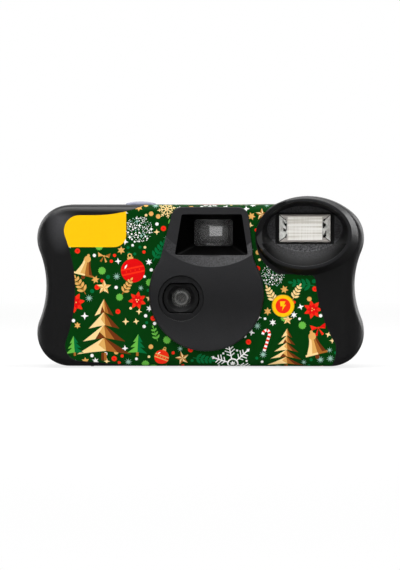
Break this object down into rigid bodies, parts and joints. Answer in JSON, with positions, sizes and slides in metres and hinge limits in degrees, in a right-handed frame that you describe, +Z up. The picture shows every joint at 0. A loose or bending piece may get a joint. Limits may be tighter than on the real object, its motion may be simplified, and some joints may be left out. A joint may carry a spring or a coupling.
{
  "type": "single-use film camera",
  "caption": "Pocket single-use 35 mm film camera with waisted black case, printed green wrap, raised lens panel with viewfinder hood, round flash, thumb wheel and film door.",
  "frame": {"origin": "under the middle of the body, level with the tip of the cassette spool's pivot, the lowest point", "axes": "+X to the right seen from the front, +Y from the front to the back, +Z up"},
  "size_m": [0.118, 0.034, 0.0619],
  "materials": {
    "cover_plastic": "satin black moulded ABS with a fine spark texture",
    "frame_plastic": "matt black moulded polystyrene",
    "printed_label": "varnished printed paper wrap, dark green with a bright pattern",
    "button_plastic": "satin lilac grey plastic",
    "switch_plastic": "yellow and red printed switch face",
    "clear_plastic": "clear moulded acrylic",
    "white_plastic": "white polystyrene",
    "grey_plastic": "grey acetal",
    "can_steel": "lacquered tinplate",
    "spring_steel": "bright spring steel",
    "contact_brass": "nickel-plated brass",
    "black_felt": "black plush",
    "film_base": "colour negative film",
    "board_laminate": "phenolic circuit board",
    "capacitor_sleeve": "shrink sleeve over an aluminium can",
    "ferrite": "ferrite and taped winding",
    "component_epoxy": "lacquered components",
    "reflector_metal": "bright aluminium",
    "tube_glass": "clear glass tube",
    "cell_steel": "lacquered steel can",
    "lamp_glass": "small clear lamp"
  },
  "bodies": {
    "camera_body": {"front_cover": "cover_plastic", "rear_cover": "cover_plastic", "label_wrap": "printed_label", "main_frame": "frame_plastic", "button_spring": "spring_steel", "cassette_shell": "can_steel", "cassette_end_caps": "can_steel", "light_trap_felts": "black_felt", "film_strip": "film_base", "counter_window": "clear_plastic", "striker_spring": "spring_steel", "metering_spring": "spring_steel", "taking_lens": "clear_plastic", "lens_retainer": "frame_plastic", "stop_plate": "frame_plastic", "viewfinder_front_lens": "clear_plastic", "viewfinder_mask": "frame_plastic", "viewfinder_eye_lens": "clear_plastic", "flash_window": "clear_plastic", "flash_reflector": "reflector_metal", "flash_tube": "tube_glass", "flash_board": "board_laminate", "flash_capacitor": "capacitor_sleeve", "step_up_transformer": "ferrite", "trigger_coil": "component_epoxy", "switching_transistor": "ferrite", "board_resistors": "component_epoxy", "switch_dome": "spring_steel", "ready_lamp": "lamp_glass", "ready_light_pipe": "clear_plastic", "sync_contacts": "contact_brass", "battery": "cell_steel", "battery_contact_positive": "contact_brass", "battery_contact_negative": "contact_brass"},
    "release_button": {"shutter_button": "button_plastic"},
    "winder": {"advance_wheel": "grey_plastic", "cassette_spool": "grey_plastic"},
    "supply": {"supply_spool": "frame_plastic", "film_roll": "film_base"},
    "sprocket": {"sprocket_wheel": "white_plastic"},
    "counter": {"counter_disc": "white_plastic"},
    "striker": {"striker_lever": "spring_steel"},
    "metering": {"metering_lever": "grey_plastic"},
    "shutter": {"shutter_blade": "frame_plastic"},
    "flash_switch": {"flash_button": "switch_plastic"},
    "door": {"film_door": "cover_plastic"}
  },
  "joints": [
    {"name": "release_press", "type": "slide", "parent": "camera_body", "child": "release_button", "axis": [0, 0, -1], "range_m": [0, 0.0015], "stiffness_N_per_m": 300, "deforming": ["button_spring"]},
    {"name": "winder_turn", "type": "hinge", "parent": "camera_body", "child": "winder", "pos_m": [-0.0397, 0.0012, 0.053], "axis": [0, 0, 1], "continuous": true},
    {"name": "supply_turn", "type": "hinge", "parent": "camera_body", "child": "supply", "pos_m": [0.0265, 0.0033, 0.025], "axis": [0, 0, 1], "continuous": true},
    {"name": "sprocket_turn", "type": "hinge", "parent": "camera_body", "child": "sprocket", "pos_m": [-0.018, 0.00625, 0.045], "axis": [0, 0, 1], "continuous": true},
    {"name": "counter_turn", "type": "hinge", "parent": "camera_body", "child": "counter", "pos_m": [-0.006, 0.004, 0.0547], "axis": [0, 0, 1], "continuous": true},
    {"name": "striker_swing", "type": "hinge", "parent": "camera_body", "child": "striker", "pos_m": [-0.0129, -0.0015, 0.042], "axis": [0, 0, 1], "range_deg": [0, 33], "stiffness_Nm_per_rad": 0.002},
    {"name": "shutter_swing", "type": "hinge", "parent": "camera_body", "child": "shutter", "pos_m": [-0.0138, -0.0103, 0.031], "axis": [0, 1, 0], "range_deg": [0, 27]},
    {"name": "metering_swing", "type": "hinge", "parent": "camera_body", "child": "metering", "pos_m": [-0.0236, 0.0032, 0.045], "axis": [0, 0, 1], "range_deg": [-12, 0], "stiffness_Nm_per_rad": 0.002},
    {"name": "flash_switch_press", "type": "slide", "parent": "camera_body", "child": "flash_switch", "axis": [0, 1, 0], "range_m": [0, 0.0008], "stiffness_N_per_m": 400},
    {"name": "film_door_swing", "type": "hinge", "parent": "camera_body", "child": "door", "pos_m": [-0.0256, 0.0012, 0.0015], "axis": [0, 1, 0], "range_deg": [-90, 0]}
  ],
  "couplings": [
    {"joint": "supply_turn", "follows": "winder_turn", "ratio": 0.67199},
    {"joint": "sprocket_turn", "follows": "winder_turn", "ratio": 1},
    {"joint": "counter_turn", "follows": "winder_turn", "ratio": -0.025},
    {"joint": "shutter_swing", "follows": "striker_swing", "ratio": 0.807}
  ]
}
